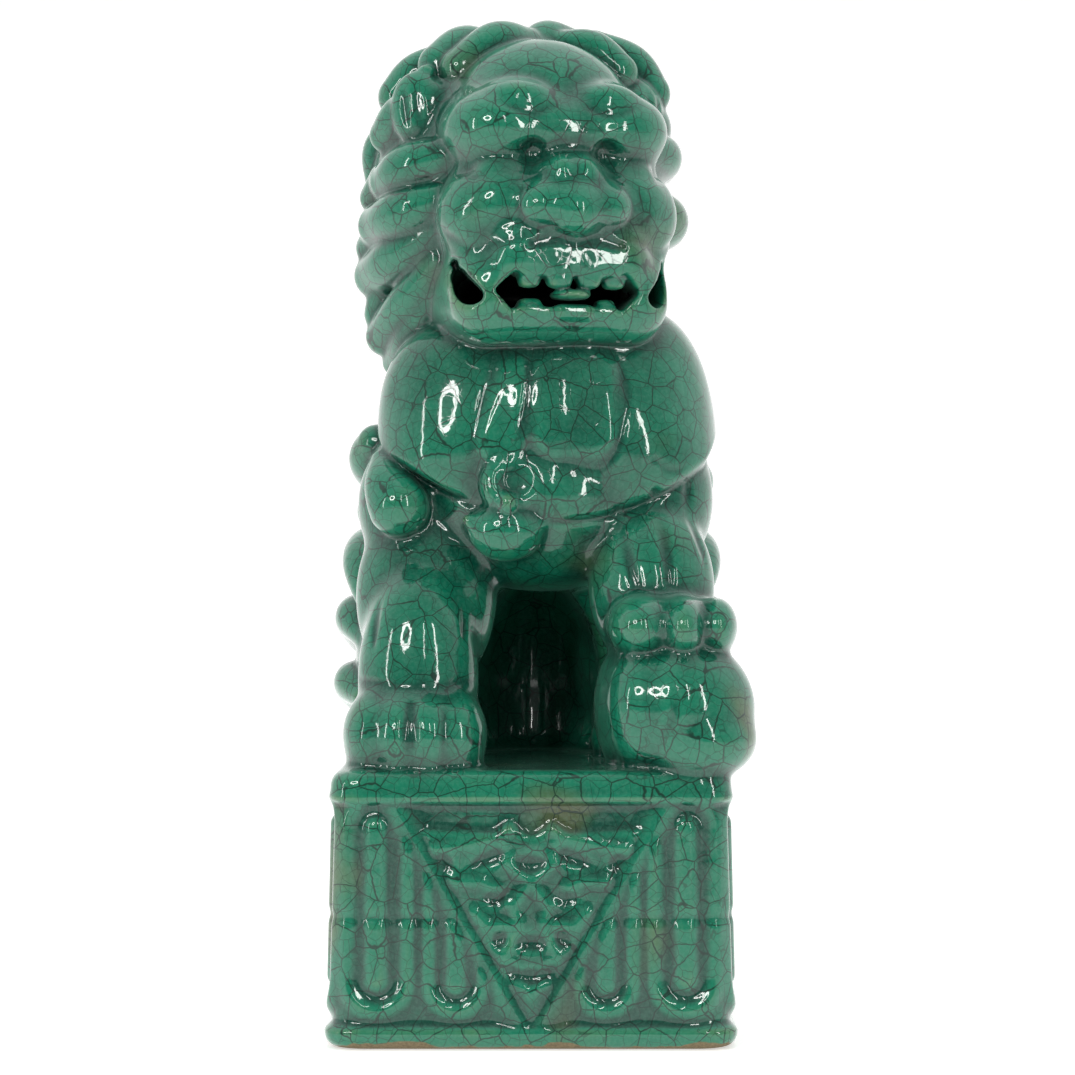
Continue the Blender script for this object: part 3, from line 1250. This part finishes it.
def add_strip(name, half, place, aim, strength):
    """A glowing strip; it shows in the glaze as a thin stroke."""
    mesh = bpy.data.meshes.new(name)
    u, v = half
    mesh.from_pydata([(-u, -v, 0), (u, -v, 0), (u, v, 0), (-u, v, 0)], [], [(0, 1, 2, 3)])
    finish_lamp(name, mesh, place, aim, strength)


def finish_lamp(name, mesh, place, aim, strength):
    lamp = bpy.data.objects.new(name, mesh)
    lamp.location = place
    lamp.rotation_euler = (Vector(aim) - Vector(place)).to_track_quat("-Z", "Y").to_euler()
    lamp.visible_camera = False
    bpy.context.scene.collection.objects.link(lamp)
    s = Shader(name)
    shader = s.node("Emission", {"Color": (1.0, 0.985, 0.96, 1), "Strength": strength})
    s.node("OutputMaterial", {"Surface": shader.outputs[0]})
    mesh.materials.append(s.material)


def build_light():
    """A white tent, darker on the camera's side, with a ring lamp and three strips of light in front."""
    world = bpy.data.worlds.new("studio")
    bpy.context.scene.world = world
    world.use_nodes = True
    tree = world.node_tree
    background = tree.nodes["Background"]
    background.inputs["Color"].default_value = (0.97, 0.99, 1.0, 1)
    towards = tree.nodes.new("ShaderNodeTexCoord")
    split = tree.nodes.new("ShaderNodeSeparateXYZ")
    tree.links.new(towards.outputs["Generated"], split.inputs[0])
    fade = tree.nodes.new("ShaderNodeMapRange")
    fade.interpolation_type = "SMOOTHSTEP"
    tree.links.new(split.outputs[1], fade.inputs["Value"])
    fade.inputs["From Min"].default_value = -0.85
    fade.inputs["From Max"].default_value = 0.25
    fade.inputs["To Min"].default_value = 0.15
    fade.inputs["To Max"].default_value = 0.95
    # where the camera sees it, it is white all round
    brighter = tree.nodes.new("ShaderNodeMath")
    brighter.operation = "MAXIMUM"
    tree.links.new(fade.outputs["Result"], brighter.inputs[0])
    tree.links.new(tree.nodes.new("ShaderNodeLightPath").outputs["Is Camera Ray"], brighter.inputs[1])
    tree.links.new(brighter.outputs[0], background.inputs["Strength"])
    aim = (0, 0, 0.17)
    turns = [2 * math.pi * i / 24 for i in range(24)]
    circle = [(0.23 * math.cos(a), 0.23 * math.sin(a)) for a in turns]
    add_glow("ring_lamp", circle, 0.085, (-0.55, -1.2, 0.85), aim, 20)
    add_strip("tall_lamp", (0.035, 0.50), (0.75, -1.15, 0.60), aim, 17)
    add_strip("side_lamp", (0.030, 0.40), (-1.15, -0.75, 0.45), aim, 15)
    add_strip("front_lamp", (0.022, 0.30), (0.22, -1.25, 0.80), aim, 16)
    add_light("top", (0.0, -0.1, 1.5), aim, (0.8, 0.8), 6).visible_glossy = False
    bpy.context.scene.view_settings.view_transform = "Standard"


def build_camera():
    camera = bpy.data.cameras.new("camera")
    camera.lens = 110.95
    camera.sensor_width = 36.0
    eye = bpy.data.objects.new("camera", camera)
    eye.location = (0.002, -1.1, 0.157)
    eye.rotation_euler = (math.radians(90), 0, 0)
    bpy.context.scene.collection.objects.link(eye)
    bpy.context.scene.camera = eye


clay = sculpt()
pieces = build_pieces(clay)
glazes = make_glazes()
for name, piece in pieces.items():
    kind = glaze_of(name)
    piece.data.materials.append(glazes[kind])
build_stage()
build_light()
build_camera()

bpy.context.view_layer.update()
